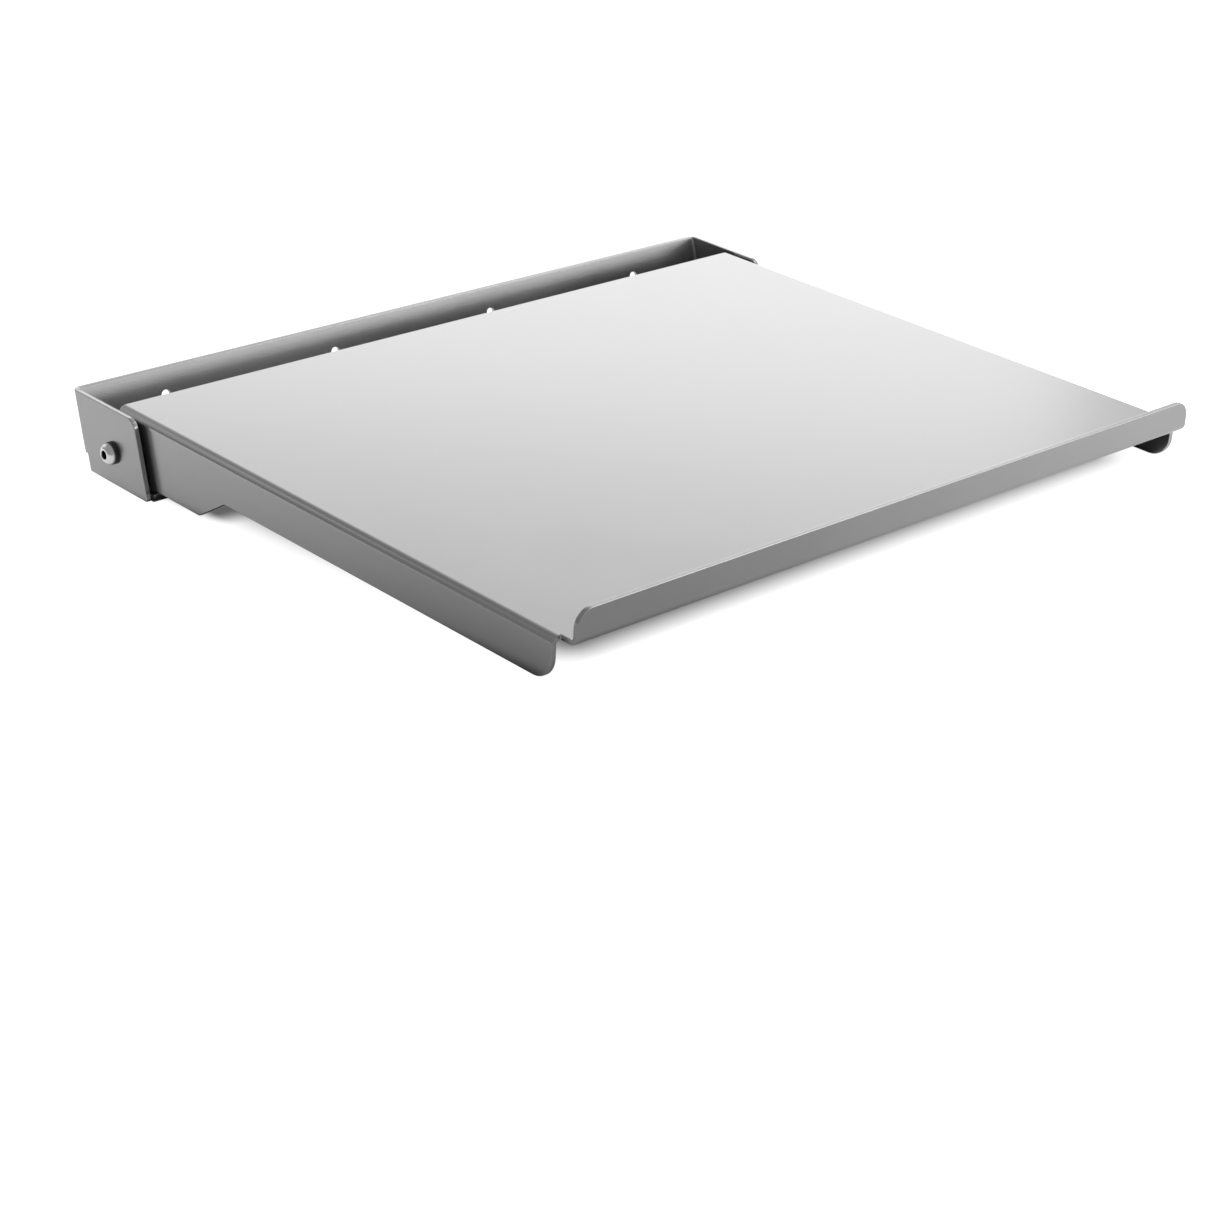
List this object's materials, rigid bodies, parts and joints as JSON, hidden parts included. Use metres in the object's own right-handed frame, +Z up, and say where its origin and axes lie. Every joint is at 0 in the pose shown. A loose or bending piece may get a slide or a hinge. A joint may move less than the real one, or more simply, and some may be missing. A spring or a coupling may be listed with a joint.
{
  "type": "wall-mounted laptop holder",
  "caption": "Fold-up wall shelf for a laptop: a sloping sheet-metal tray with side flanges and a front lip, hinged between the ears of a wall bracket.",
  "frame": {"origin": "middle of the row of wall-screw holes, on the wall plane at the back of the bracket", "axes": "+X to the user's right, +Y into the wall, +Z up; the open tray reaches out along -Y and slopes down"},
  "size_m": [0.419, 0.345, 0.1064],
  "materials": {
    "coated_steel": "satin silver-grey powder coat with fine metallic flake",
    "stainless_screw": "bright stainless steel, turned",
    "zinc_steel": "bright zinc plating",
    "black_nylon": "moulded black nylon",
    "nut_nylon": "natural white nylon",
    "black_rubber": "matt black rubber"
  },
  "bodies": {
    "bracket": {"wall_bracket": "coated_steel", "pivot_screw_left": "stainless_screw", "pivot_screw_right": "stainless_screw", "head_washer_left": "black_nylon", "head_washer_right": "black_nylon", "spacer_washer_left": "black_nylon", "spacer_washer_right": "black_nylon", "back_washer_left": "zinc_steel", "back_washer_right": "zinc_steel", "lock_nut_left": "zinc_steel", "lock_nut_right": "zinc_steel", "nut_ring_left": "nut_nylon", "nut_ring_right": "nut_nylon", "stop_pad_left": "black_rubber", "stop_pad_right": "black_rubber"},
    "tray": {"laptop_tray": "coated_steel"}
  },
  "joints": [
    {"name": "tray_fold", "type": "hinge", "parent": "bracket", "child": "tray", "pos_m": [0, -0.0277, -0.0158], "axis": [-1, 0, 0], "range_deg": [0, 103.5]}
  ]
}
